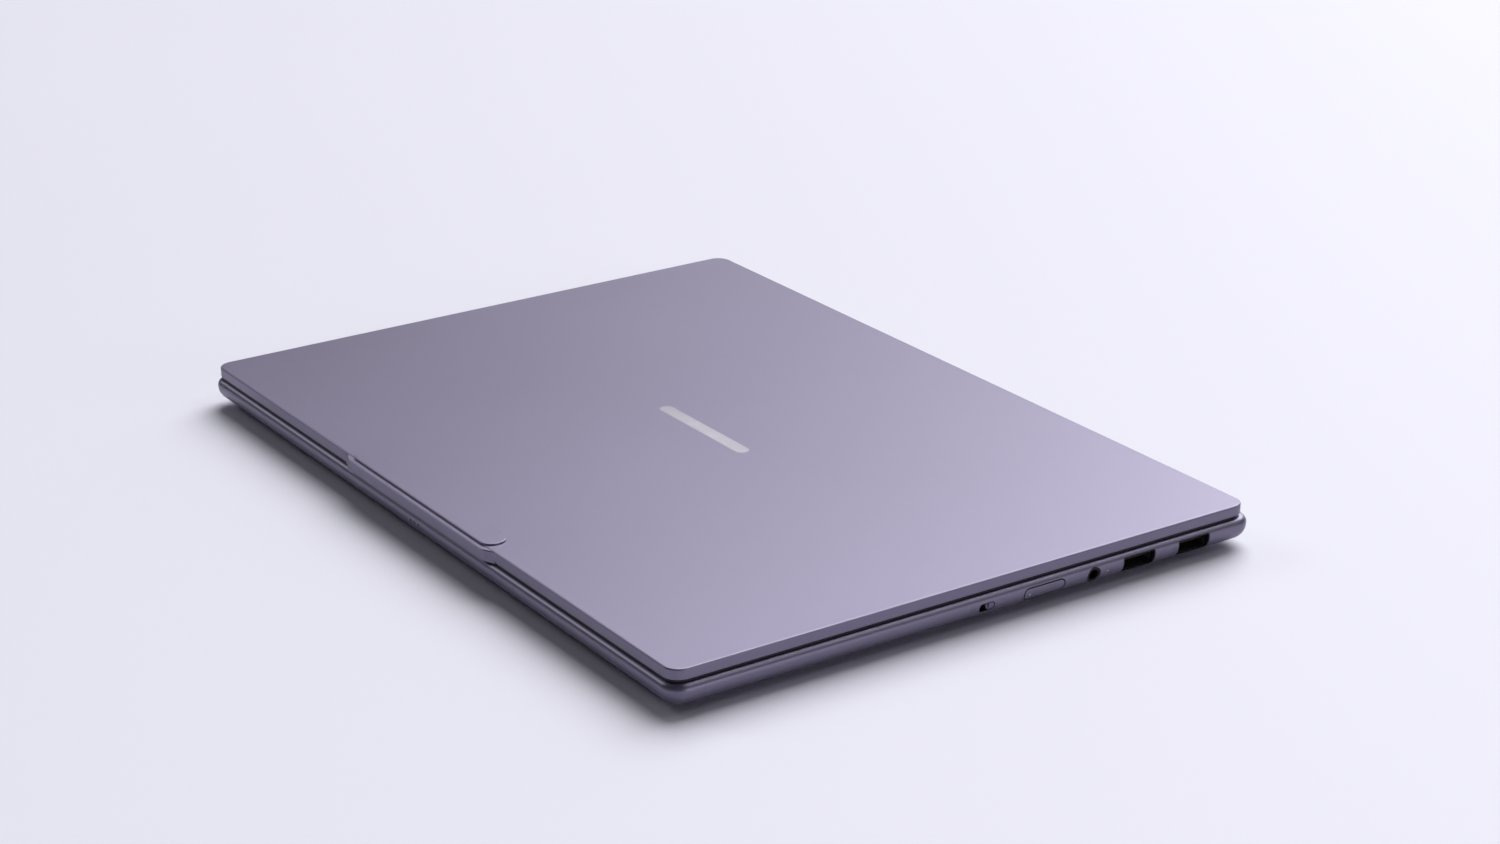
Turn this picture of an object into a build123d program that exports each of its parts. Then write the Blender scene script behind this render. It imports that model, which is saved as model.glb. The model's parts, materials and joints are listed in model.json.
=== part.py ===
from build123d import *
import math
import os

# A slim 14-inch clamshell laptop computer, closed, standing on its rubber feet.
# Millimetres. +X is the user's right, +Y points from the user to the hinge, +Z is up.
# The origin is the centre of the outline on the plane the feet stand on.

# ---- driving dimensions ------------------------------------------------------------------
BASE_WIDTH = 312.0
BASE_DEPTH = 224.5
BASE_Y = 1.0                 # the base sits a little back, because the lid's lip stands forward
OUTLINE_Y = 0.75             # middle of the whole outline: every piece is moved forward by this on export
BASE_CORNER = 6.5            # plan radius of the base's corners
FOOT_DROP = 1.3              # how far the feet stand below the bottom cover
RIM_Z = 2.4                  # lowest point of the base's rounded edge
DECK_Z = 10.4                # top of the palm rest
DECK_THICK = 1.2
TOP_ROUND = 2.4              # upper edge radius of the base
LOW_ROUND = 5.4              # lower edge radius of the base
SIDE_WALL = 3.2

LID_WIDTH = 309.2
LID_FRONT = -110.0
LID_REAR = 111.0
LID_CORNER = 5.4
LID_UNDER = 11.35            # lower edge of the lid's metal cover
LID_TOP = 15.0
LID_SKIN = 0.9
LID_WALL = 1.6

BASE_FRONT = BASE_Y - BASE_DEPTH / 2
BASE_REAR = BASE_Y + BASE_DEPTH / 2
SIDE_X = BASE_WIDTH / 2
LID_DEPTH = LID_REAR - LID_FRONT
LID_Y = (LID_REAR + LID_FRONT) / 2

# hinge axis: the centre of the base's rear upper edge round
HINGE_Y = BASE_REAR - TOP_ROUND
HINGE_Z = DECK_Z - TOP_ROUND
KNUCKLE_R = TOP_ROUND
PIN_R = 1.25
PIN_CLEARANCE = 0.05
COVER_END = 100.2            # half length of the black hinge cover
ARM_X = (101.0, 110.0)       # lid knuckle, along X
EYE_X = (110.5, 118.5)       # base knuckle, along X
NOTCH_X = 119.0              # half width of the hinge notch in the base
NOTCH_Y = 106.65             # front wall of the hinge notch
NOTCH_FLOOR = 4.8

# inside the base
CAVITY_FLOOR = 3.75
CAVITY_REAR = 104.4
CAVITY_TOP = DECK_Z - DECK_THICK
BOARD_Z = (4.2, 5.0)
PORT_Z = 6.45                # centre height of every side port
PORT_BACK = 141.3            # inner end of the side connectors

# bottom cover
COVER_WIDTH = 299.0
COVER_FRONT = -104.7
COVER_REAR = 102.0
COVER_SLOPE = 1.0            # chamfer round the bottom cover's lower edge
COVER_TOP = 3.3
COVER_Y = (COVER_FRONT + COVER_REAR) / 2
COVER_DEPTH = COVER_REAR - COVER_FRONT
SCREW_POINTS = [(x * s, y) for s in (-1, 1) for x, y in ((145, -98), (145, 6), (145, 98), (75, -100.6), (48, 98.2))]

# right side, front to rear
CAMERA_SLOT = (3.4, 6.1, 3.0)      # centre y, length, height
SLOT_LINING = 0.25
POWER_BUTTON = (26.05, 15.6, 3.6)
POWER_LIGHT_Y = 20.3
JACK_Y = 45.9
JACK_BORE = 1.8
STATUS_Y = 51.6
USB_A_Y = (64.45, 87.3)
USB_A_SIZE = (13.2, 5.4)
# left side, front to rear
USB_C_Y = (46.0, 62.0)
USB_C_SIZE = (9.2, 3.4)
HDMI_Y = 83.0
HDMI_SIZE = (15.2, 5.5)

# keyboard
KEY_PITCH = 18.6
ROW_PITCH = 18.5
FUNCTION_PITCH = 12.4
KEY_GAP = 2.6
KEY_REAR = 97.0              # rear edge of the function row's cells
KEY_TOP = 10.2
KEY_HEIGHT = 1.9
KEY_TRAVEL = 1.2
KEY_UNITS = 15
KEY_Y = KEY_REAR - (FUNCTION_PITCH + 5 * ROW_PITCH) / 2
WELL_SIZE = (281.0, 107.0)

# touchpad
PAD_SIZE = (128.0, 80.0)
PAD_Y = -61.0
PAD_Z = (9.15, 10.35)

# lid inside
BEZEL_Z = (10.7, LID_UNDER)
SCREEN_SIZE = (301.6, 188.5)
SCREEN_FRONT = -103.2
PANEL_Z = (11.4, 13.6)
BEZEL_REAR = 109.2
LENS_Y = -105.9

# camera ledge on the lid's front edge
LEDGE_HALF = 46.6
LEDGE_REAR = -101.35
LEDGE_TOP = 15.6
LEDGE_ROUND = 0.35
LIP_FRONT = -111.75
LIP_HALF = 45.0
LIP_RUNOUT = 6.0
LIP_UNDER = 10.85
LIP_TOP = 14.75


# ---- shape helpers -----------------------------------------------------------------------
def block(x, y, z):
    """A box between the two limits given for each axis."""
    size = [b - a for a, b in (x, y, z)]
    middle = [(a + b) / 2 for a, b in (x, y, z)]
    return Pos(*middle) * Box(*size)


def slab(width, depth, radius, z, x=0.0, y=0.0):
    """A flat plate with rounded plan corners."""
    return Pos(x, y, z[0]) * extrude(RectangleRounded(width, depth, radius), z[1] - z[0])


def rod_x(radius, x, y, z):
    return Pos((x[0] + x[1]) / 2, y, z) * Rot(0, 90, 0) * Cylinder(radius, x[1] - x[0])


def rod_y(radius, x, y, z):
    return Pos(x, (y[0] + y[1]) / 2, z) * Rot(90, 0, 0) * Cylinder(radius, y[1] - y[0])


def rod_z(radius, x, y, z):
    return Pos(x, y, (z[0] + z[1]) / 2) * Cylinder(radius, z[1] - z[0])


def side_prism(size, radius, x, y, z=PORT_Z):
    """A rounded rectangle in the YZ plane, drawn out along X. size is its length along Y and its height."""
    plane = Plane(origin=(x[0], y, z), x_dir=(0, 1, 0), z_dir=(1, 0, 0))
    return extrude(plane * RectangleRounded(size[0], size[1], radius), x[1] - x[0])


def profile_x(outline, x):
    """A closed YZ outline, drawn out along X. outline is a list of (y, z) points."""
    plane = Plane(origin=(x[0], 0, 0), x_dir=(0, 1, 0), z_dir=(1, 0, 0))
    return extrude(plane * Polygon(*outline, align=None), x[1] - x[0])


def flipped(shape):
    """The same piece on the other side of the laptop."""
    return mirror(shape, Plane.YZ)


def group(shapes):
    return Compound(children=[s for shape in shapes for s in shape.solids()])


def ends(shape, side):
    """The edges of the highest (-1) or lowest (0) face of an upright plate."""
    return shape.edges().group_by(Axis.Z)[side]


# ---- base shells -------------------------------------------------------------------------
def base_envelope():
    """The rounded outer form of the base, which the side buttons also follow."""
    body = slab(BASE_WIDTH, BASE_DEPTH, BASE_CORNER, (RIM_Z, DECK_Z), y=BASE_Y)
    body = fillet(ends(body, -1), TOP_ROUND)
    return fillet(ends(body, 0), LOW_ROUND)


def screw_bosses():
    pillar_r = 2.3
    return [rod_z(pillar_r, x, y, (COVER_TOP + 0.1, CAVITY_TOP + 0.4)) for x, y in SCREW_POINTS]


def right_side_cuts():
    wall = (150.0, 158.0)
    cuts = [side_prism(USB_A_SIZE, 0.7, wall, y) for y in USB_A_Y]
    cuts += [rod_x(2.65, wall, JACK_Y, PORT_Z)]
    y, length, height = POWER_BUTTON
    cuts += [side_prism((length + 0.8, height + 0.8), 1.9, wall, y)]
    y, length, height = CAMERA_SLOT
    cuts += [side_prism((length, height), 1.3, wall, y)]
    cuts += [rod_x(0.4, wall, STATUS_Y, PORT_Z)]
    return cuts


def left_side_cuts():
    wall = (-158.0, -150.0)
    cuts = [side_prism(USB_C_SIZE, 1.65, wall, y) for y in USB_C_Y]
    cuts += [side_prism(HDMI_SIZE, 0.9, wall, HDMI_Y)]
    return cuts


def microphone_holes():
    hole_pitch = 2.7
    return [rod_y(0.42, i * hole_pitch, (BASE_FRONT - 1, BASE_FRONT + 5), 7.4) for i in (-1, 0, 1)]


def exhaust_slots():
    """Upright slots in the notch's front wall, one bank behind each fin stack."""
    slots = []
    for side in (-1, 1):
        for i in range(15):
            x = side * (51.0 + 3.4 * i)
            slots.append(block((x - 1.1, x + 1.1), (CAVITY_REAR - 1, NOTCH_Y + 1), (5.4, 8.6)))
    return slots


def top_case(envelope):
    cavity_half = SIDE_X - SIDE_WALL
    front = BASE_FRONT + SIDE_WALL
    cavity = slab(2 * cavity_half, CAVITY_REAR - front, 4.0, (CAVITY_FLOOR, CAVITY_TOP), y=(CAVITY_REAR + front) / 2)
    mouth = slab(COVER_WIDTH + 0.4, COVER_DEPTH + 0.4, 5.2, (RIM_Z - 1, CAVITY_FLOOR + 0.2), y=COVER_Y)
    notch = block((-NOTCH_X, NOTCH_X), (NOTCH_Y, 120), (NOTCH_FLOOR, 20))
    well = slab(*WELL_SIZE, 3.0, (CAVITY_TOP - 1, DECK_Z + 1), y=KEY_Y)
    pad_hole = slab(PAD_SIZE[0] + 0.7, PAD_SIZE[1] + 0.7, 4.3, (CAVITY_TOP - 1, DECK_Z + 1), y=PAD_Y)
    body = envelope - [cavity, mouth, notch, well, pad_hole]
    body = body + screw_bosses() + bracket_bosses()
    arm_slots = [block((s * 114.5 - 4.4, s * 114.5 + 4.4), (CAVITY_REAR - 1, NOTCH_Y + 1), (6.6, CAVITY_TOP))
                 for s in (-1, 1)]
    body = body - right_side_cuts() - left_side_cuts() - microphone_holes()
    body = body - exhaust_slots() - arm_slots
    screw_holes = [rod_z(0.75, x, y, (COVER_TOP, 6.5)) for x, y in SCREW_POINTS]
    return body - screw_holes - bracket_screws()


def bottom_cover():
    body = slab(COVER_WIDTH, COVER_DEPTH, 5.0, (FOOT_DROP, COVER_TOP), y=COVER_Y)
    body = chamfer(ends(body, 0), COVER_SLOPE)
    body = body - slab(COVER_WIDTH - 10, COVER_DEPTH - 10, 4.0, (RIM_Z - 0.1, COVER_TOP + 1), y=COVER_Y)
    body = body + [rod_z(3.2, x, y, (2.25, COVER_TOP)) & slab(COVER_WIDTH, COVER_DEPTH, 5.0, (2, 4), y=COVER_Y)
                   for x, y in SCREW_POINTS]
    heads = [rod_z(1.8, x, y, (0, 2.35)) for x, y in SCREW_POINTS]
    shanks = [rod_z(0.85, x, y, (2, 4)) for x, y in SCREW_POINTS]
    feet = [slab(FRONT_FOOT[0] + 0.2, FRONT_FOOT[1] + 0.2, 2.9, (0, FOOT_TOP), x=s * FRONT_FOOT_X, y=FRONT_FOOT_Y)
            for s in (-1, 1)]
    feet += [slab(REAR_FOOT[0] + 0.2, REAR_FOOT[1] + 0.2, 3.4, (0, FOOT_TOP), y=REAR_FOOT_Y)]
    return body - heads - shanks - feet - intake_slots() - speaker_slots()


def intake_slots():
    slots = []
    for i in range(-30, 31):
        for y in (36.0, 54.0):
            slots.append(block((4.0 * i - 0.8, 4.0 * i + 0.8), (y - 7, y + 7), (0, 5)))
    return slots


def speaker_slots():
    return [block((s * 134 - 5, s * 134 + 5), (-84 + 4 * i, -82.6 + 4 * i), (0, 5)) for s in (-1, 1) for i in range(11)]


def bottom_screws():
    heads = [rod_z(1.6, x, y, (1.8, 2.35)) - block((x - 0.9, x + 0.9), (y - 0.2, y + 0.2), (1.7, 2.05))
             for x, y in SCREW_POINTS]
    return group([h + rod_z(0.75, x, y, (2.3, 6.5)) for h, (x, y) in zip(heads, SCREW_POINTS)])


FOOT_TOP = FOOT_DROP + 0.3
FRONT_FOOT = (48.0, 6.2)
FRONT_FOOT_X = 90.0
FRONT_FOOT_Y = -88.0
REAR_FOOT = (236.0, 7.0)
REAR_FOOT_Y = 84.0


def foot(size, x, y):
    pad = slab(*size, size[1] / 2 - 0.2, (0, FOOT_TOP), x=x, y=y)
    return fillet(ends(pad, 0), 0.4)


# ---- keyboard ----------------------------------------------------------------------------
def row_centre(row):
    """Y of a key row's middle. Row 0 is the function row, at the rear."""
    if row == 0:
        return KEY_REAR - FUNCTION_PITCH / 2
    return KEY_REAR - FUNCTION_PITCH - ROW_PITCH * (row - 0.5)


def row_keys(row, widths, start=0.0):
    """(x, y, width, depth) of each key in a row, from the key widths in units."""
    depth = (FUNCTION_PITCH if row == 0 else ROW_PITCH) - KEY_GAP
    keys = []
    edge = (start - KEY_UNITS / 2) * KEY_PITCH
    for units in widths:
        keys.append((edge + units * KEY_PITCH / 2, row_centre(row), units * KEY_PITCH - KEY_GAP, depth))
        edge += units * KEY_PITCH
    return keys


def arrow_key_places():
    half = (ROW_PITCH - KEY_GAP - 1.2) / 2
    low = row_centre(5) - (half + 1.2) / 2
    high = row_centre(5) + (half + 1.2) / 2
    places = []
    for unit, heights in ((12, (low,)), (13, (low, high)), (14, (low,))):
        x = (unit + 0.5 - KEY_UNITS / 2) * KEY_PITCH
        places += [(x, y, KEY_PITCH - KEY_GAP, half) for y in heights]
    return places


KEY_GROUPS = {
    "function_row_keys": row_keys(0, [1] * 15),
    "number_row_keys": row_keys(1, [1] * 13 + [2]),
    "tab_row_keys": row_keys(2, [1.5] + [1] * 12 + [1.5]),
    "home_row_keys": row_keys(3, [1.75] + [1] * 11 + [2.25]),
    "shift_row_keys": row_keys(4, [2.25] + [1] * 10 + [2.75]),
    "modifier_keys": row_keys(5, [1] * 4) + row_keys(5, [1] * 2, start=10),
    "space_bar": row_keys(5, [6], start=4),
    "arrow_keys": arrow_key_places(),
}


def keycap(x, y, width, depth):
    cap = slab(width, depth, 1.6, (KEY_TOP - KEY_HEIGHT, KEY_TOP), x=x, y=y)
    cap = fillet(ends(cap, -1), 0.35)
    return cap - slab(width - 2.2, depth - 2.2, 0.8, (KEY_TOP - KEY_HEIGHT - 1, KEY_TOP - 1.0), x=x, y=y)


def keyboard_frame():
    plate = slab(282.2, 108.6, 3.0, (CAVITY_TOP - 0.6, CAVITY_TOP), y=KEY_Y)
    holes = [slab(w + 0.7, d + 0.7, 1.8, (CAVITY_TOP - 2, CAVITY_TOP + 1), x=x, y=y)
             for keys in KEY_GROUPS.values() for x, y, w, d in keys]
    return plate - holes - boss_notches()


def boss_notches():
    return [rod_z(2.5, x, y, (0, 20)) for x, y in SCREW_POINTS]


def keyboard_backplate():
    return slab(281.0, 107.6, 2.0, (6.6, 7.0), y=KEY_Y) - boss_notches()


# ---- touchpad and side controls ----------------------------------------------------------
def touchpad():
    plate = slab(*PAD_SIZE, 4.0, PAD_Z, y=PAD_Y)
    return fillet(ends(plate, -1), 0.15)


def switches():
    """The click switches behind the touchpad and the power button."""
    pad_switch = block((-4, 4), (-95, -89), (8.15, 8.65))
    y = POWER_BUTTON[0]
    power_switch = block((146.5, 151.2), (y - 3, y + 3), (5.0, 7.6)) + rod_x(0.9, (151.0, 152.0), y, PORT_Z)
    return group([pad_switch, power_switch])


def power_button(envelope):
    y, length, height = POWER_BUTTON
    button = side_prism((length, height), 1.5, (152.8, 160), y) & envelope
    return button - rod_x(0.35, (150, 160), POWER_LIGHT_Y, PORT_Z - 0.3)


def camera_knob(envelope):
    """The sliding knob, standing at the rear end of its slot, with a scooped front face."""
    y, length, height = CAMERA_SLOT
    knob_length = 2.7
    knob_y = y + (length - knob_length) / 2 - SLOT_LINING - 0.1
    knob = side_prism((knob_length, height - 2 * SLOT_LINING - 0.2), 0.95, (152.4, 160), knob_y) & envelope
    scoop = Pos(155.9, knob_y - knob_length / 2 - 0.35, PORT_Z) * Cylinder(0.9, height)
    carrier = side_prism((3.2, 4.2), 0.6, (151.7, 152.6), knob_y)
    return knob - scoop + carrier


def camera_switch_housing(envelope):
    """The switch behind the wall, and the black lining of its slot."""
    y, length, height = CAMERA_SLOT
    opening = (length - 2 * SLOT_LINING, height - 2 * SLOT_LINING)
    lining = side_prism((length, height), 1.3, (152.85, 160), y) - side_prism(opening, 1.05, (150, 161), y)
    back = side_prism((9.0, 4.6), 0.5, (148.2, 151.5), y)
    return group([back, lining & (Pos(-0.12, 0, 0) * envelope)])


# ---- connectors --------------------------------------------------------------------------
def shell(size, radius, wall, x, y):
    """A connector's metal sleeve, open towards the outside and closed behind."""
    outer = side_prism(size, radius, x, y)
    return outer - side_prism((size[0] - 2 * wall, size[1] - 2 * wall), max(radius - wall, 0.2), (x[0] + 0.6, x[1] + 1), y)


def usb_a_shell(y):
    return shell((13.0, 5.2), 0.5, 0.35, (PORT_BACK, 153.8), y)


def usb_a_tongues():
    return group([block((PORT_BACK + 0.6, 153.0), (y - 5.5, y + 5.5), (6.75, 8.6)) for y in USB_A_Y])


def usb_a_liners(envelope):
    """The black frame between each USB-A sleeve and the outer surface."""
    liners = []
    for y in USB_A_Y:
        outer = side_prism(USB_A_SIZE, 0.7, (153.85, 160), y)
        liner = outer - side_prism((USB_A_SIZE[0] - 0.8, USB_A_SIZE[1] - 0.8), 0.4, (150, 161), y)
        liners.append(liner & (Pos(-0.12, 0, 0) * envelope))
    return group(liners)


def audio_jack(envelope):
    body = block((PORT_BACK, 152.5), (JACK_Y - 3.3, JACK_Y + 3.3), (4.0, 8.9))
    tube = rod_x(2.6, (152, 158), JACK_Y, PORT_Z) & (Pos(-0.15, 0, 0) * envelope)
    return body + tube - rod_x(JACK_BORE, (142.4, 160), JACK_Y, PORT_Z)


def usb_c_ports():
    parts = []
    for y in USB_C_Y:
        sleeve = shell((8.9, 3.1), 1.5, 0.3, (PORT_BACK, 154.6), y)
        tongue = block((PORT_BACK + 0.6, 153.6), (y - 3.3, y + 3.3), (PORT_Z - 0.35, PORT_Z + 0.35))
        parts += [flipped(sleeve), flipped(tongue)]
    return group(parts)


def hdmi_port():
    sleeve = shell((14.8, 5.1), 0.8, 0.35, (PORT_BACK, 153.8), HDMI_Y)
    tongue = block((PORT_BACK + 0.6, 153.0), (HDMI_Y - 5.6, HDMI_Y + 5.6), (PORT_Z - 0.5, PORT_Z + 0.5))
    return group([flipped(sleeve), flipped(tongue)])


def status_light():
    return rod_x(0.38, (150.5, 155.6), STATUS_Y, PORT_Z)


def microphone():
    return block((-6, 6), (BASE_FRONT + SIDE_WALL, BASE_FRONT + SIDE_WALL + 1.5), (6.0, 8.8))


# ---- electronics inside the base ---------------------------------------------------------
FAN_X = 98.0
FAN_Y = 62.0
FAN_SIZE = 52.0
FAN_Z = (2.7, 6.3)
FAN_ROTOR_R = 21.5


def mainboard():
    centre = block((-71, 71), (22, 90), BOARD_Z)
    arm = block((-126, -71), (10, 34), BOARD_Z)
    port_strip = block((-PORT_BACK, -126), (10, 96), BOARD_Z)
    chip = block((-14, 14), (56, 76), (BOARD_Z[1], 5.6))
    return centre + arm + port_strip + chip


def io_board():
    strip = block((126, PORT_BACK), (10, 96), BOARD_Z)
    return strip + block((PORT_BACK - 1, 151), (18, 34), BOARD_Z)


def heat_spreader():
    return slab(56.0, 43.5, 3.0, (5.6, 6.4), y=67.8)


def heat_pipe():
    pipe = slab(240.0, 6.0, 2.8, (4.9, 6.4), y=92.6)
    return fillet(pipe.edges().filter_by(GeomType.LINE).filter_by(Axis.X), 0.5)


def heat_fins():
    fins = []
    for side in (-1, 1):
        for i in range(24):
            x = side * (74.5 + 2.0 * i)
            fins.append(block((x - 0.2, x + 0.2), (89.5, 102.0), (3.4, 4.9)))
    return group(fins)


def fan_housing(side):
    case = slab(FAN_SIZE, FAN_SIZE, 8.0, FAN_Z, x=side * FAN_X, y=FAN_Y)
    chamber = rod_z(FAN_ROTOR_R + 1.5, side * FAN_X, FAN_Y, (FAN_Z[0] + 0.4, FAN_Z[1] - 0.4))
    inlet = rod_z(15.0, side * FAN_X, FAN_Y, (FAN_Z[0] - 1, FAN_Z[0] + 1)) - rod_z(5.0, side * FAN_X, FAN_Y, (0, 9))
    outlet = block((side * FAN_X - 20, side * FAN_X + 20), (FAN_Y + 12, FAN_Y + 30), (FAN_Z[0] + 0.4, FAN_Z[1] - 0.4))
    spokes = [Pos(side * FAN_X, FAN_Y, FAN_Z[0] + 0.2) * Rot(0, 0, a) * Box(32, 1.6, 0.4) for a in (30, 90, 150)]
    spindle = rod_z(1.0, side * FAN_X, FAN_Y, (FAN_Z[0], 5.0))
    return case - chamber - inlet - outlet + spokes + spindle


def fan_rotor(side):
    hub = rod_z(9.2, 0, 0, (3.6, 5.6))
    blades = [Rot(0, 0, 360 / 23 * i) * Pos(14.4, 0, 4.6) * Rot(0, 0, 28) * Box(15.0, 0.6, 2.0) for i in range(23)]
    ring = rod_z(FAN_ROTOR_R, 0, 0, (4.2, 4.6)) - rod_z(FAN_ROTOR_R - 0.8, 0, 0, (4, 5))
    rotor = hub + blades + ring
    return Pos(side * FAN_X, FAN_Y, 0) * (rotor - rod_z(1.06, 0, 0, (3, 5.06)))


def battery_cells():
    cell = (56.0, 82.0)
    return group([slab(*cell, 2.5, (2.7, 8.0), x=x, y=-55.0) for x in (-87, -29, 29, 87)])


def speaker(side):
    box = slab(25.0, 62.0, 3.0, (2.8, 8.6), x=side * 131.5, y=-62.0)
    return fillet(ends(box, -1), 0.8)


def ssd_module():
    stick = block((-66, 14), (23, 45), (BOARD_Z[1], 5.8))
    return stick + block((-60, -46), (25, 43), (5.8, 6.4)) + block((-40, -26), (25, 43), (5.8, 6.4))


def wifi_card():
    return block((26, 48), (24, 40), (BOARD_Z[1], 5.8)) + block((29, 45), (26, 38), (5.8, 6.4))


def magnets(z, xs, y):
    return group([block((x - 8, x + 8), (y - 1.5, y + 1.5), z) for x in xs])


# ---- hinge, base half --------------------------------------------------------------------
BRACKET_SCREW_X = (92.0, 102.0, 126.0, 136.0)
BRACKET_Y = 100.9
BRACKET_Z = (6.9, 8.4)


def bracket_bosses():
    return [rod_z(1.8, s * x, BRACKET_Y, (BRACKET_Z[1], CAVITY_TOP + 0.4)) for s in (-1, 1) for x in BRACKET_SCREW_X]


def bracket_screws():
    screws = []
    for s in (-1, 1):
        for x in BRACKET_SCREW_X:
            head = rod_z(1.7, s * x, BRACKET_Y, (6.45, BRACKET_Z[0]))
            screws.append(head + rod_z(0.8, s * x, BRACKET_Y, (BRACKET_Z[0] - 0.1, 9.3)))
    return group(screws)


def hinge_bracket(side):
    """The steel strip under the deck, with the eye that the hinge pin turns in."""
    strip = block((86, 141), (98.7, 103.2), BRACKET_Z)
    arm = block(EYE_X, (102, HINGE_Y), (HINGE_Z - 1.3, HINGE_Z + 1.1))
    eye = rod_x(KNUCKLE_R, EYE_X, HINGE_Y, HINGE_Z)
    body = strip + arm + eye - rod_x(PIN_R + PIN_CLEARANCE, (100, 130), HINGE_Y, HINGE_Z)
    body = body if side > 0 else flipped(body)
    return body - bracket_screws()


# ---- lid ---------------------------------------------------------------------------------
def ledge_outline(half, rear, front, radius):
    """A plan outline with rounded corners, centred on the lid."""
    return Pos(0, (rear + front) / 2) * RectangleRounded(2 * half, rear - front, radius)


def lip_outline():
    """The forward lip in plan: straight in the middle, running out to the lid's edge in S-curves."""
    inner = LID_FRONT + 3.0
    far = LIP_HALF + LIP_RUNOUT
    right = Bezier((LIP_HALF, LIP_FRONT), (LIP_HALF + LIP_RUNOUT / 2, LIP_FRONT),
                   (LIP_HALF + LIP_RUNOUT / 2, LID_FRONT), (far, LID_FRONT))
    left = Bezier((-far, LID_FRONT), (-LIP_HALF - LIP_RUNOUT / 2, LID_FRONT),
                  (-LIP_HALF - LIP_RUNOUT / 2, LIP_FRONT), (-LIP_HALF, LIP_FRONT))
    frame = [Line((-LIP_HALF, LIP_FRONT), (LIP_HALF, LIP_FRONT)), right, Line((far, LID_FRONT), (far, inner)),
             Line((far, inner), (-far, inner)), Line((-far, inner), (-far, LID_FRONT)), left]
    return make_face(Wire(frame))


def lid_cover():
    cover = slab(LID_WIDTH, LID_DEPTH, LID_CORNER, (LID_UNDER, LID_TOP), y=LID_Y)
    cover = fillet(ends(cover, -1), 0.55)
    cover = chamfer(ends(cover, 0), 0.25)
    lip = Pos(0, 0, LIP_UNDER) * extrude(lip_outline(), LIP_TOP - LIP_UNDER)
    lip_edge = ends(lip, -1).filter_by_position(Axis.Y, LIP_FRONT - 0.1, LIP_FRONT + 0.1)
    cover = cover + chamfer(lip_edge, 0.3)
    island = Pos(0, 0, LIP_TOP - 0.9) * extrude(island_outline(), LEDGE_TOP - LIP_TOP + 0.9)
    cover = cover + fillet(ends(island, -1), LEDGE_ROUND)
    pocket = slab(LID_WIDTH - 2 * LID_WALL, LID_REAR - LID_FRONT - 1.8 - 2.0, 4.0, (LID_UNDER - 1, LID_TOP - LID_SKIN),
                  y=(LID_FRONT + 1.8 + LID_REAR - 2.0) / 2)
    front_keep = block((-52, 52), (LID_FRONT - 3, LID_FRONT + 2.4), (LIP_UNDER - 1, LID_UNDER + 0.05))
    cover = cover - (pocket - front_keep)
    return cover - badge_prism(LID_TOP - 0.3, LID_TOP + 1)


def island_outline():
    """The camera ledge's own plan: rounded at every corner, its front in line with the lid's edge."""
    return ledge_outline(LEDGE_HALF, LEDGE_REAR, LID_FRONT - 0.3, 4.2)


def badge_prism(low, high):
    return slab(52.0, 5.0, 2.45, (low, high), y=1.5)


def lid_badge():
    return badge_prism(LID_TOP - 0.3, LID_TOP)


def display_bezel():
    front = LID_FRONT + 0.3
    ring = slab(LID_WIDTH - 0.6, BEZEL_REAR - front, LID_CORNER - 0.3, BEZEL_Z, y=(BEZEL_REAR + front) / 2)
    window = slab(*SCREEN_SIZE, 1.5, (BEZEL_Z[0] - 1, BEZEL_Z[1] + 1), y=SCREEN_FRONT + SCREEN_SIZE[1] / 2)
    lens = rod_z(1.6, 0, LENS_Y, (BEZEL_Z[0] - 1, BEZEL_Z[1] + 1))
    arm_gaps = [block((s * 105.5 - 5, s * 105.5 + 5), (107.6, 113), (BEZEL_Z[0] - 1, BEZEL_Z[1] + 1)) for s in (-1, 1)]
    lip_gap = block((-52, 52), (LID_FRONT - 1, LID_FRONT + 2.45), (BEZEL_Z[0] + 0.1, BEZEL_Z[1] + 1))
    return ring - window - lens - arm_gaps - lip_gap


def bezel_gasket():
    """The thin rubber bead under the bezel that the closed lid sits on."""
    outer = slab(LID_WIDTH - 3.0, 214.0, 4.4, (10.5, BEZEL_Z[0]), y=-1.4)
    inner = slab(LID_WIDTH - 5.0, 212.0, 3.4, (10, 11), y=-1.4)
    return outer - inner


def display_panel():
    return slab(303.6, 192.0, 2.0, PANEL_Z, y=SCREEN_FRONT - 1.4 + 96.0)


def display_board():
    board = block((-80, 80), (89.2, 96.2), (12.4, 13.0))
    return board + block((-20, 20), (90, 95.6), (12.0, 12.4)) + block((50, 66), (90, 95.6), (11.6, 12.4))


def camera_module():
    case = block((-5, 5), (LENS_Y - 1.5, LENS_Y + 1.2), (LID_UNDER + 0.05, 13.6))
    return case + rod_z(1.5, 0, LENS_Y, (10.95, LID_UNDER + 0.2))


def camera_lens():
    return rod_z(1.2, 0, LENS_Y, (10.75, 10.95))


def hinge_cover():
    """The black bar between the two hinges: round on the hinge axis, with a neck up to the bezel."""
    bar = rod_x(KNUCKLE_R, (-COVER_END, COVER_END), HINGE_Y, HINGE_Z)
    rear = LID_REAR - 0.45
    neck = block((-COVER_END, COVER_END), (HINGE_Y - KNUCKLE_R, rear), (HINGE_Z, BEZEL_Z[0]))
    rear_flange = block((-COVER_END, COVER_END), (BEZEL_REAR + 0.05, rear), (BEZEL_Z[0] - 0.1, LID_UNDER))
    return bar + neck + rear_flange


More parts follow.
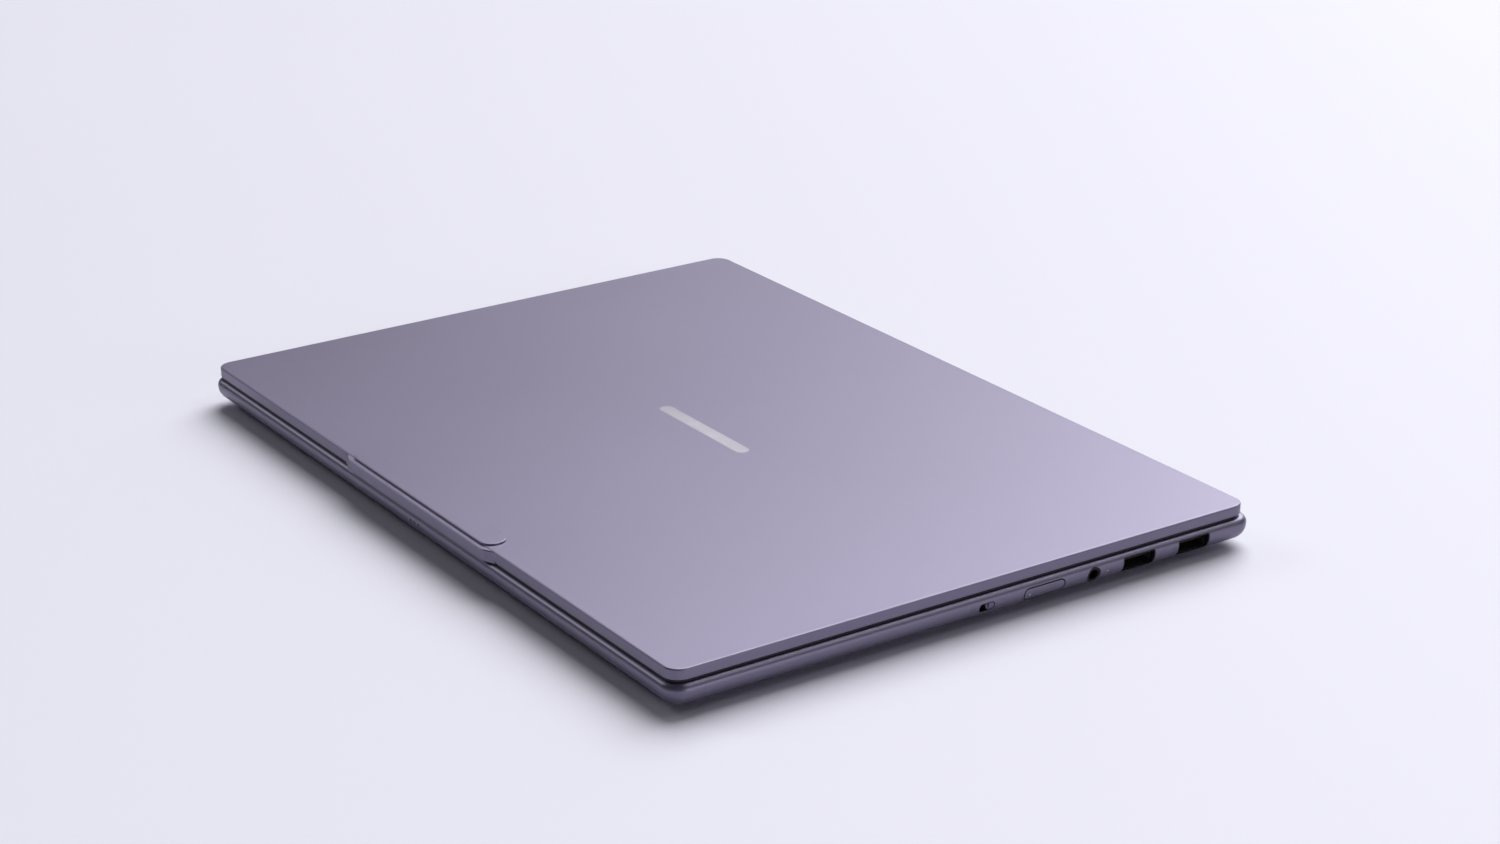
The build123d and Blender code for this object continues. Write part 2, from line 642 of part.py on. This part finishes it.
def hinge_arm(side):
    """The steel leaf screwed into the lid, with the knuckle that grips the hinge pin."""
    knuckle = rod_x(KNUCKLE_R, ARM_X, HINGE_Y, HINGE_Z)
    neck = block(ARM_X, (HINGE_Y - KNUCKLE_R, HINGE_Y - 1.2), (HINGE_Z, 11.3))
    riser = block(ARM_X, (107.7, 108.95), (10.75, 12.4))
    leaf = block((86, ARM_X[1]), (91.0, 108.95), (11.4, 12.4))
    body = knuckle + neck + riser + leaf - rod_x(PIN_R, (90, 130), HINGE_Y, HINGE_Z)
    body = body if side > 0 else flipped(body)
    return body - arm_screws()


def hinge_pins():
    pin = rod_x(PIN_R, (ARM_X[0], EYE_X[1] + 0.4), HINGE_Y, HINGE_Z)
    return group([pin, flipped(pin)])


ARM_SCREWS = [(90.0, 94.0), (90.0, 104.0), (100.0, 94.0), (100.0, 104.0)]


def arm_screws():
    screws = []
    for s in (-1, 1):
        for x, y in ARM_SCREWS:
            screws.append(rod_z(1.7, s * x, y, (11.36, 11.4)) + rod_z(1.0, s * x, y, (11.38, 13.9)))
    return group(screws)


# ---- all pieces --------------------------------------------------------------------------
def pieces():
    envelope = base_envelope()
    parts = {
        "top_case": top_case(envelope),
        "bottom_cover": bottom_cover(),
        "bottom_screws": bottom_screws(),
        "front_feet": group([foot(FRONT_FOOT, s * FRONT_FOOT_X, FRONT_FOOT_Y) for s in (-1, 1)]),
        "rear_foot": foot(REAR_FOOT, 0, REAR_FOOT_Y),
        "keyboard_frame": keyboard_frame(),
        "keyboard_backplate": keyboard_backplate(),
        "touchpad": touchpad(),
        "click_switches": switches(),
        "power_button": power_button(envelope),
        "camera_switch_knob": camera_knob(envelope),
        "camera_switch_housing": camera_switch_housing(envelope),
        "usb_a_shell_front": usb_a_shell(USB_A_Y[0]),
        "usb_a_shell_rear": usb_a_shell(USB_A_Y[1]),
        "usb_a_tongues": usb_a_tongues(),
        "usb_a_liners": usb_a_liners(envelope),
        "audio_jack": audio_jack(envelope),
        "usb_c_ports": usb_c_ports(),
        "hdmi_port": hdmi_port(),
        "status_light": status_light(),
        "microphone": microphone(),
        "mainboard": mainboard(),
        "io_board": io_board(),
        "heat_spreader": heat_spreader(),
        "heat_pipe": heat_pipe(),
        "heat_fins": heat_fins(),
        "battery_cells": battery_cells(),
        "plug_in_cards": group([ssd_module(), wifi_card()]),
        "base_magnets": magnets((7.2, CAVITY_TOP), (-100, 100), -105.5),
        "hinge_bracket_screws": bracket_screws(),
        "hinge_arm_screws": arm_screws(),
        "hinge_pins": hinge_pins(),
        "hinge_cover": hinge_cover(),
        "lid_cover": lid_cover(),
        "lid_badge": lid_badge(),
        "lid_magnets": magnets((LID_UNDER, 13.5), (-100, 100), -106.5),
        "display_bezel": display_bezel(),
        "bezel_gasket": bezel_gasket(),
        "display_panel": display_panel(),
        "display_board": display_board(),
        "camera_module": camera_module(),
        "camera_lens": camera_lens(),
    }
    for name, side in (("left", -1), ("right", 1)):
        parts["fan_housing_" + name] = fan_housing(side)
        parts["fan_rotor_" + name] = fan_rotor(side)
        parts["speaker_" + name] = speaker(side)
        parts["hinge_bracket_" + name] = hinge_bracket(side)
        parts["hinge_arm_" + name] = hinge_arm(side)
    for name, keys in KEY_GROUPS.items():
        parts[name] = group([keycap(*key) for key in keys])
    return parts


if __name__ == "__main__":
    os.makedirs("parts", exist_ok=True)
    for node, shape in pieces().items():
        export_step(Pos(0, -OUTLINE_Y, 0) * shape, f"parts/{node}.step")
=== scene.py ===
import json
import math

import bmesh
import bpy
from mathutils import Matrix, Vector


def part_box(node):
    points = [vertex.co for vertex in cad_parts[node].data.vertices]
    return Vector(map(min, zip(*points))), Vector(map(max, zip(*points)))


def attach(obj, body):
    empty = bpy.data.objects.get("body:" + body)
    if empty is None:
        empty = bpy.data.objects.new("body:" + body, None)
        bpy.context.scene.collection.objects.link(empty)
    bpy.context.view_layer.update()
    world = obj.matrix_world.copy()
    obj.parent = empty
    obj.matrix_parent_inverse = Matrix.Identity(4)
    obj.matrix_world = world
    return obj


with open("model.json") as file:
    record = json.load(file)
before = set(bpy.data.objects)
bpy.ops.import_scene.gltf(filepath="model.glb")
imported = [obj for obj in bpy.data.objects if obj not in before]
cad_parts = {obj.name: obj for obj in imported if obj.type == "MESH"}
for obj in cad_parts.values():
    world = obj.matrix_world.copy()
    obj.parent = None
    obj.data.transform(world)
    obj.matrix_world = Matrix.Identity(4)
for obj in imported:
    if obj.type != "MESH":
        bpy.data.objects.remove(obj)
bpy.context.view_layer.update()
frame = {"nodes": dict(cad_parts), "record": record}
MM = 0.001
LIGHT_TINT = (0.985, 0.98, 1.0)     # a slightly cool white
SMOOTH_BELOW = math.radians(40)     # edges shallower than this are shaded smooth
WELD = 0.002 * MM


# ---- materials ---------------------------------------------------------------------------
def material(name, color, rough, metallic=0.0, grain=0.2, bump=0.1, tint=0.04, vary=0.05, coat=0.0, stretch=None,
             patch=30.0, shine=0.5):
    """A procedural finish: colour drift in large patches, and a fine grain that moves the roughness and the normal.
    grain is the grain's size in millimetres, and stretch scales it along X, Y and Z."""
    mat = bpy.data.materials.new(name)
    mat.use_nodes = True
    tree = mat.node_tree
    nodes, link = tree.nodes, tree.links.new
    shader = nodes["Principled BSDF"]
    shader.inputs["Metallic"].default_value = metallic
    shader.inputs["Specular IOR Level"].default_value = shine
    shader.inputs["Coat Weight"].default_value = coat
    shader.inputs["Coat Roughness"].default_value = 0.12
    place = nodes.new("ShaderNodeTexCoord")
    scale = nodes.new("ShaderNodeMapping")
    scale.inputs["Scale"].default_value = stretch or (1, 1, 1)
    link(place.outputs["Object"], scale.inputs["Vector"])

    def noise(size, detail):
        n = nodes.new("ShaderNodeTexNoise")
        n.inputs["Scale"].default_value = size
        n.inputs["Detail"].default_value = detail
        link(scale.outputs["Vector"], n.inputs["Vector"])
        return n.outputs["Fac"]

    fine, broad = noise(1 / (grain * MM), 3.0), noise(patch, 4.0)
    ramp = nodes.new("ShaderNodeValToRGB")
    for stop, place_at, sign in ((0, 0.3, -1), (1, 0.7, 1)):
        ramp.color_ramp.elements[stop].position = place_at
        ramp.color_ramp.elements[stop].color = [min(1, c * (1 + sign * tint)) for c in color] + [1]
    link(broad, ramp.inputs["Fac"])
    speck = nodes.new("ShaderNodeMix")
    speck.data_type, speck.blend_type = "RGBA", "OVERLAY"
    speck.inputs[0].default_value = tint * 1.5
    link(ramp.outputs["Color"], speck.inputs[6])
    link(fine, speck.inputs[7])
    link(speck.outputs[2], shader.inputs["Base Color"])
    both = nodes.new("ShaderNodeMath")
    both.operation = "ADD"
    link(fine, both.inputs[0])
    link(broad, both.inputs[1])
    spread = nodes.new("ShaderNodeMapRange")
    spread.inputs["From Min"].default_value, spread.inputs["From Max"].default_value = 0.6, 1.4
    spread.inputs["To Min"].default_value = max(0.02, rough - vary)
    spread.inputs["To Max"].default_value = rough + vary
    link(both.outputs[0], spread.inputs["Value"])
    link(spread.outputs["Result"], shader.inputs["Roughness"])
    relief = nodes.new("ShaderNodeBump")
    relief.inputs["Strength"].default_value = bump
    relief.inputs["Distance"].default_value = grain * MM * 0.3
    link(fine, relief.inputs["Height"])
    link(relief.outputs["Normal"], shader.inputs["Normal"])
    return mat


SHELL = (0.204, 0.186, 0.267)
FINISH = {
    "shell_aluminium": material("anodised_shell", SHELL, 0.39, 0.72, grain=0.16, bump=0.2, tint=0.006, vary=0.02,
                                patch=9.0),
    "foot_rubber": material("foot_rubber", (0.025, 0.025, 0.027), 0.75, grain=0.5, bump=0.3),
    "key_plastic": material("key_plastic", (0.028, 0.028, 0.033), 0.5, grain=0.12, bump=0.2, shine=0.3),
    "black_plastic": material("moulded_black", (0.010, 0.010, 0.013), 0.5, grain=0.25, bump=0.2, shine=0.25),
    "glass_black": material("black_glass", (0.008, 0.008, 0.011), 0.07, grain=4.0, bump=0.01, coat=0.6, vary=0.03),
    "steel": material("brushed_steel", (0.55, 0.54, 0.53), 0.32, 1.0, grain=0.4, bump=0.15, stretch=(1, 1, 12)),
    "bright_metal": material("polished_inlay", (0.60, 0.58, 0.65), 0.26, 0.35, grain=0.3, bump=0.04, tint=0.02),
    "copper": material("copper", (0.72, 0.36, 0.22), 0.35, 1.0, grain=0.5, bump=0.15),
    "circuit_board": material("circuit_board", (0.015, 0.07, 0.04), 0.45, grain=0.8, bump=0.2, coat=0.3),
    "light_lens": material("light_lens", (0.62, 0.62, 0.66), 0.3, grain=0.2, bump=0.05),
}
EXTRA = {
    "touchpad": material("touchpad_glass", (0.30, 0.285, 0.34), 0.3, 0.2, grain=0.2, bump=0.05, tint=0.02),
    "bezel": material("bezel_black", (0.010, 0.010, 0.013), 0.42, grain=0.3, bump=0.12, tint=0.05, shine=0.25),
    "screen": material("screen_glass", (0.006, 0.007, 0.010), 0.12, grain=6.0, bump=0.008, coat=0.4, vary=0.04),
    "gold": material("gold_contact", (0.83, 0.62, 0.28), 0.28, 1.0, grain=0.2, bump=0.05),
    "print": material("printed_mark", (0.10, 0.095, 0.12), 0.5, grain=0.1, bump=0.05),
    # USB sleeve: steel, coloured darker than the plain steel as painted shade for the dim inside of the ports
    "port_steel_painted_shade": material("port_sleeve_painted_shade", (0.30, 0.30, 0.31), 0.35, 0.9, grain=0.3, bump=0.1, tint=0.05),
    "hinge_steel": material("hinge_steel", (0.05, 0.05, 0.055), 0.5, 0.5, grain=0.3, bump=0.15),
    "board_dark": material("battery_wrap", (0.03, 0.03, 0.034), 0.38, grain=1.5, bump=0.25),
}
SPECIAL = {
    "touchpad": "touchpad", "display_bezel": "bezel", "display_panel": "screen", "battery_cells": "board_dark",
    "usb_a_shell_front": "port_steel_painted_shade", "usb_a_shell_rear": "port_steel_painted_shade",
    "hinge_arm_left": "hinge_steel", "hinge_arm_right": "hinge_steel",
    "hinge_bracket_left": "hinge_steel", "hinge_bracket_right": "hinge_steel",
}

for part in frame["record"]["subparts"]:
    node = part["node"]
    finish = EXTRA[SPECIAL[node]] if node in SPECIAL else FINISH[part["material_slot"]]
    shown = frame["nodes"][node]
    if not shown.material_slots:
        shown.data.materials.append(finish)
    for entry in shown.material_slots:
        entry.material = finish


# ---- shading of the carried-over pieces --------------------------------------------------
def clean_shading():
    """A modifier group that shades shallow edges smooth and keeps steep ones sharp."""
    group = bpy.data.node_groups.new("clean_shading", "GeometryNodeTree")
    for way in ("INPUT", "OUTPUT"):
        group.interface.new_socket("Geometry", in_out=way, socket_type="NodeSocketGeometry")
    nodes, link = group.nodes, group.links.new
    start, end = nodes.new("NodeGroupInput"), nodes.new("NodeGroupOutput")
    weld = nodes.new("GeometryNodeMergeByDistance")
    weld.inputs["Distance"].default_value = WELD
    faces, edges = nodes.new("GeometryNodeSetShadeSmooth"), nodes.new("GeometryNodeSetShadeSmooth")
    faces.domain, edges.domain = "FACE", "EDGE"
    angle, steep = nodes.new("GeometryNodeInputMeshEdgeAngle"), nodes.new("FunctionNodeCompare")
    steep.data_type, steep.operation = "FLOAT", "GREATER_THAN"
    steep.inputs[1].default_value = SMOOTH_BELOW
    edges.inputs["Shade Smooth"].default_value = False
    link(start.outputs[0], weld.inputs["Geometry"])
    link(weld.outputs["Geometry"], faces.inputs["Geometry"])
    link(faces.outputs["Geometry"], edges.inputs["Geometry"])
    link(angle.outputs["Unsigned Angle"], steep.inputs[0])
    link(steep.outputs["Result"], edges.inputs["Selection"])
    link(edges.outputs["Geometry"], end.inputs[0])
    return group


SHADING = clean_shading()
for shown in frame["nodes"].values():
    shown.modifiers.new("clean_shading", "NODES").node_group = SHADING
    weighted = shown.modifiers.new("weighted_normals", "WEIGHTED_NORMAL")
    weighted.keep_sharp = True


# ---- detail pieces -----------------------------------------------------------------------
def piece(name, verts, faces, finish, body, bevel=0.0, smooth=False):
    """A mesh in the row frame, in metres, riding on a body."""
    mesh = bpy.data.meshes.new(name)
    mesh.from_pydata(verts, [], faces)
    work = bmesh.new()
    work.from_mesh(mesh)
    bmesh.ops.recalc_face_normals(work, faces=work.faces)
    work.to_mesh(mesh)
    work.free()
    obj = bpy.data.objects.new(name, mesh)
    bpy.context.scene.collection.objects.link(obj)
    mesh.materials.append(finish)
    if bevel:
        edge = obj.modifiers.new("edge", "BEVEL")
        edge.width, edge.segments, edge.limit_method = bevel, 3, "ANGLE"
    for face in mesh.polygons:
        face.use_smooth = smooth
    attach(obj, body)
    return obj


def box_piece(name, low, high, finish, body, bevel):
    """A bevelled block between two corners."""
    x, y, z = zip(low, high)
    verts = [(x[i], y[j], z[k]) for i in (0, 1) for j in (0, 1) for k in (0, 1)]
    faces = [(0, 1, 3, 2), (4, 6, 7, 5), (0, 4, 5, 1), (2, 3, 7, 6), (0, 2, 6, 4), (1, 5, 7, 3)]
    return piece(name, verts, faces, finish, body, bevel)


case_low, case_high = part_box("top_case")
SIDE_X = case_high.x
DECK_Z = case_high.z
TOP_ROUND, LOW_ROUND = 2.4 * MM, 5.4 * MM
LOW_CENTRE = case_low.z + LOW_ROUND


def side_x(z):
    """How far out the base's rounded right side is at a height."""
    if z > LOW_CENTRE:
        return SIDE_X - TOP_ROUND + math.sqrt(max(0, TOP_ROUND**2 - max(0, z - DECK_Z + TOP_ROUND) ** 2))
    return SIDE_X - LOW_ROUND + math.sqrt(LOW_ROUND**2 - (LOW_CENTRE - z) ** 2)


def outline(y, z, half_y, half_z, corner, steps=8):
    """Points of a rounded rectangle, in the side's plane."""
    points = []
    for sy, sz, start in ((1, 1, 0), (-1, 1, 90), (-1, -1, 180), (1, -1, 270)):
        for i in range(steps + 1):
            a = math.radians(start + 90 * i / steps)
            points.append((y + sy * (half_y - corner) + corner * math.cos(a),
                           z + sz * (half_z - corner) + corner * math.sin(a)))
    return points


def side_ring(name, y, z, half_y, half_z, corner, width):
    """A thin printed outline that follows the side's curve, as a closed strip of real thickness."""
    outer = outline(y, z, half_y, half_z, corner)
    inner = outline(y, z, half_y - width, half_z - width, max(corner - width, 0.02 * MM))
    count = len(outer)
    rise = 0.012 * MM
    verts = []
    for lift in (rise, -rise):
        for loop in (outer, inner):
            verts += [(side_x(v) + lift, u, v) for u, v in loop]
    faces = []
    for i in range(count):
        j = (i + 1) % count
        o, n, ob, nb = i, count + i, 2 * count + i, 3 * count + i
        o2, n2, ob2, nb2 = j, count + j, 2 * count + j, 3 * count + j
        faces += [(o, o2, n2, n), (ob, nb, nb2, ob2), (o, ob, ob2, o2), (n, n2, nb2, nb)]
    return piece(name, verts, faces, EXTRA["print"], "base")


button_low, button_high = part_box("power_button")
PORT_Z = (button_low.z + button_high.z) / 2
CAMERA_MARK_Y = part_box("camera_switch_knob")[0].y - 5.1 * MM
USB_MARK_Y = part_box("usb_a_shell_rear")[0].y - 1.7 * MM
side_ring("mark_camera", CAMERA_MARK_Y, PORT_Z, 0.95 * MM, 0.7 * MM, 0.25 * MM, 0.16 * MM)
side_ring("mark_camera_lens", CAMERA_MARK_Y, PORT_Z, 0.36 * MM, 0.36 * MM, 0.35 * MM, 0.14 * MM)
side_ring("mark_usb", USB_MARK_Y, PORT_Z, 1.0 * MM, 0.8 * MM, 0.2 * MM, 0.16 * MM)
side_ring("mark_usb_inner", USB_MARK_Y, PORT_Z, 0.45 * MM, 0.3 * MM, 0.1 * MM, 0.12 * MM)

CONTACT_X = (145 * MM, 152.4 * MM)
CONTACT_HALF = 0.5 * MM
CONTACT_OFFSETS = (-3.5, -1.1, 1.1, 3.5)    # millimetres across the tongue
tongue_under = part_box("usb_a_tongues")[0].z
for label in ("front", "rear"):
    low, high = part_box("usb_a_shell_" + label)
    middle = (low.y + high.y) / 2
    for i, across in enumerate(CONTACT_OFFSETS):
        y = middle + across * MM
        box_piece(f"usb_contact_{label}_{i}", (CONTACT_X[0], y - CONTACT_HALF, tongue_under - 0.09 * MM),
                  (CONTACT_X[1], y + CONTACT_HALF, tongue_under + 0.05 * MM), EXTRA["gold"], "base", 0.03 * MM)


def dome(name, centre, radius, height, axis, finish, body):
    """A low lens-shaped cap with a flat back."""
    side = Vector(axis).orthogonal().normalized()
    other = Vector(axis).cross(side)
    rings, count = 6, 32
    verts, faces = [], []
    for r in range(rings):
        a = r / rings * math.pi / 2
        for i in range(count):
            t = 2 * math.pi * i / count
            out = side * math.cos(t) + other * math.sin(t)
            verts.append(centre + out * radius * math.cos(a) + Vector(axis) * height * math.sin(a))
    verts.append(centre + Vector(axis) * height)
    for r in range(rings - 1):
        for i in range(count):
            j = (i + 1) % count
            faces.append((r * count + i, r * count + j, (r + 1) * count + j, (r + 1) * count + i))
    faces += [((rings - 1) * count + i, (rings - 1) * count + (i + 1) % count, rings * count) for i in range(count)]
    faces.append(tuple(range(count)))
    return piece(name, [tuple(v) for v in verts], faces, finish, body, smooth=True)


light_z = PORT_Z - 0.3 * MM
light_y = button_low.y + 2.05 * MM
dome("power_light", Vector((side_x(light_z) - 0.12 * MM, light_y, light_z)), 0.33 * MM, 0.08 * MM, (1, 0, 0),
     FINISH["light_lens"], "power_button_body")
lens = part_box("camera_lens")
dome("webcam_glass", Vector(((lens[0].x + lens[1].x) / 2, (lens[0].y + lens[1].y) / 2, lens[0].z)), 0.9 * MM,
     0.1 * MM, (0, 0, -1), FINISH["glass_black"], "lid")

# ---- floor, lights and camera ------------------------------------------------------------
floor_mesh = bpy.data.meshes.new("floor")
REACH = 14.0
floor_mesh.from_pydata([(-REACH, -REACH, 0), (REACH, -REACH, 0), (REACH, REACH, 0), (-REACH, REACH, 0)], [],
                       [(0, 1, 2, 3)])
floor = bpy.data.objects.new("floor", floor_mesh)
bpy.context.scene.collection.objects.link(floor)
floor_mesh.materials.append(material("pale_floor", (0.84, 0.835, 0.93), 0.6, grain=1.0, bump=0.02, tint=0.004,
                                     vary=0.02, patch=2.0))


def softbox(name, at, aim, size, power, color):
    """A square area light at a point, facing another."""
    data = bpy.data.lights.new(name, "AREA")
    data.shape, data.size, data.energy, data.color = "SQUARE", size, power, color
    obj = bpy.data.objects.new(name, data)
    bpy.context.scene.collection.objects.link(obj)
    obj.location = at
    obj.rotation_euler = (Vector(aim) - Vector(at)).to_track_quat("-Z", "Y").to_euler()


def sun(name, toward, spread, power, color):
    """Even light from a wide patch of ceiling. toward points from the object to the patch."""
    data = bpy.data.lights.new(name, "SUN")
    data.angle, data.energy, data.color = math.radians(spread), power, color
    obj = bpy.data.objects.new(name, data)
    bpy.context.scene.collection.objects.link(obj)
    obj.rotation_euler = (-Vector(toward)).to_track_quat("-Z", "Y").to_euler()


sun("ceiling", (-0.52, 0.78, 1.08), 54, 3.0, LIGHT_TINT)
sun("edge_light", (0.40, 0.52, 0.74), 22, 0.22, LIGHT_TINT)
sun("left_low", (-1.0, -0.47, 0.66), 20, 0.32, LIGHT_TINT)
sun("right_low", (1.0, 0.35, 0.15), 22, 0.40, LIGHT_TINT)
softbox("rear_panel", (-1.3, 2.8, 1.2), (0.05, 0.05, 0), 2.0, 18.0, (0.98, 0.98, 1.0))

world = bpy.data.worlds.new("studio")
bpy.context.scene.world = world
world.use_nodes = True
world.node_tree.nodes["Background"].inputs["Color"].default_value = (0.93, 0.93, 1.0, 1)
world.node_tree.nodes["Background"].inputs["Strength"].default_value = 0.035
bpy.context.scene.view_settings.view_transform = "Standard"

EYE = Vector((0.8254, -0.53315, 0.40205))
TARGET = Vector((0.00363, 0.01752, 0.015))
ROLL = math.radians(0.267)
forward = (TARGET - EYE).normalized()
level = forward.cross(Vector((0, 0, 1))).normalized()
down = forward.cross(level)
right = math.cos(ROLL) * level + math.sin(ROLL) * down
up = math.sin(ROLL) * level - math.cos(ROLL) * down
camera = bpy.data.objects.new("camera", bpy.data.cameras.new("camera"))
bpy.context.scene.collection.objects.link(camera)
camera.data.sensor_width, camera.data.lens = 36.0, 73.63
camera.data.clip_start, camera.data.clip_end = 0.01, 60.0
camera.matrix_world = Matrix.Translation(EYE) @ Matrix((right, up, -forward)).transposed().to_4x4()
bpy.context.scene.camera = camera
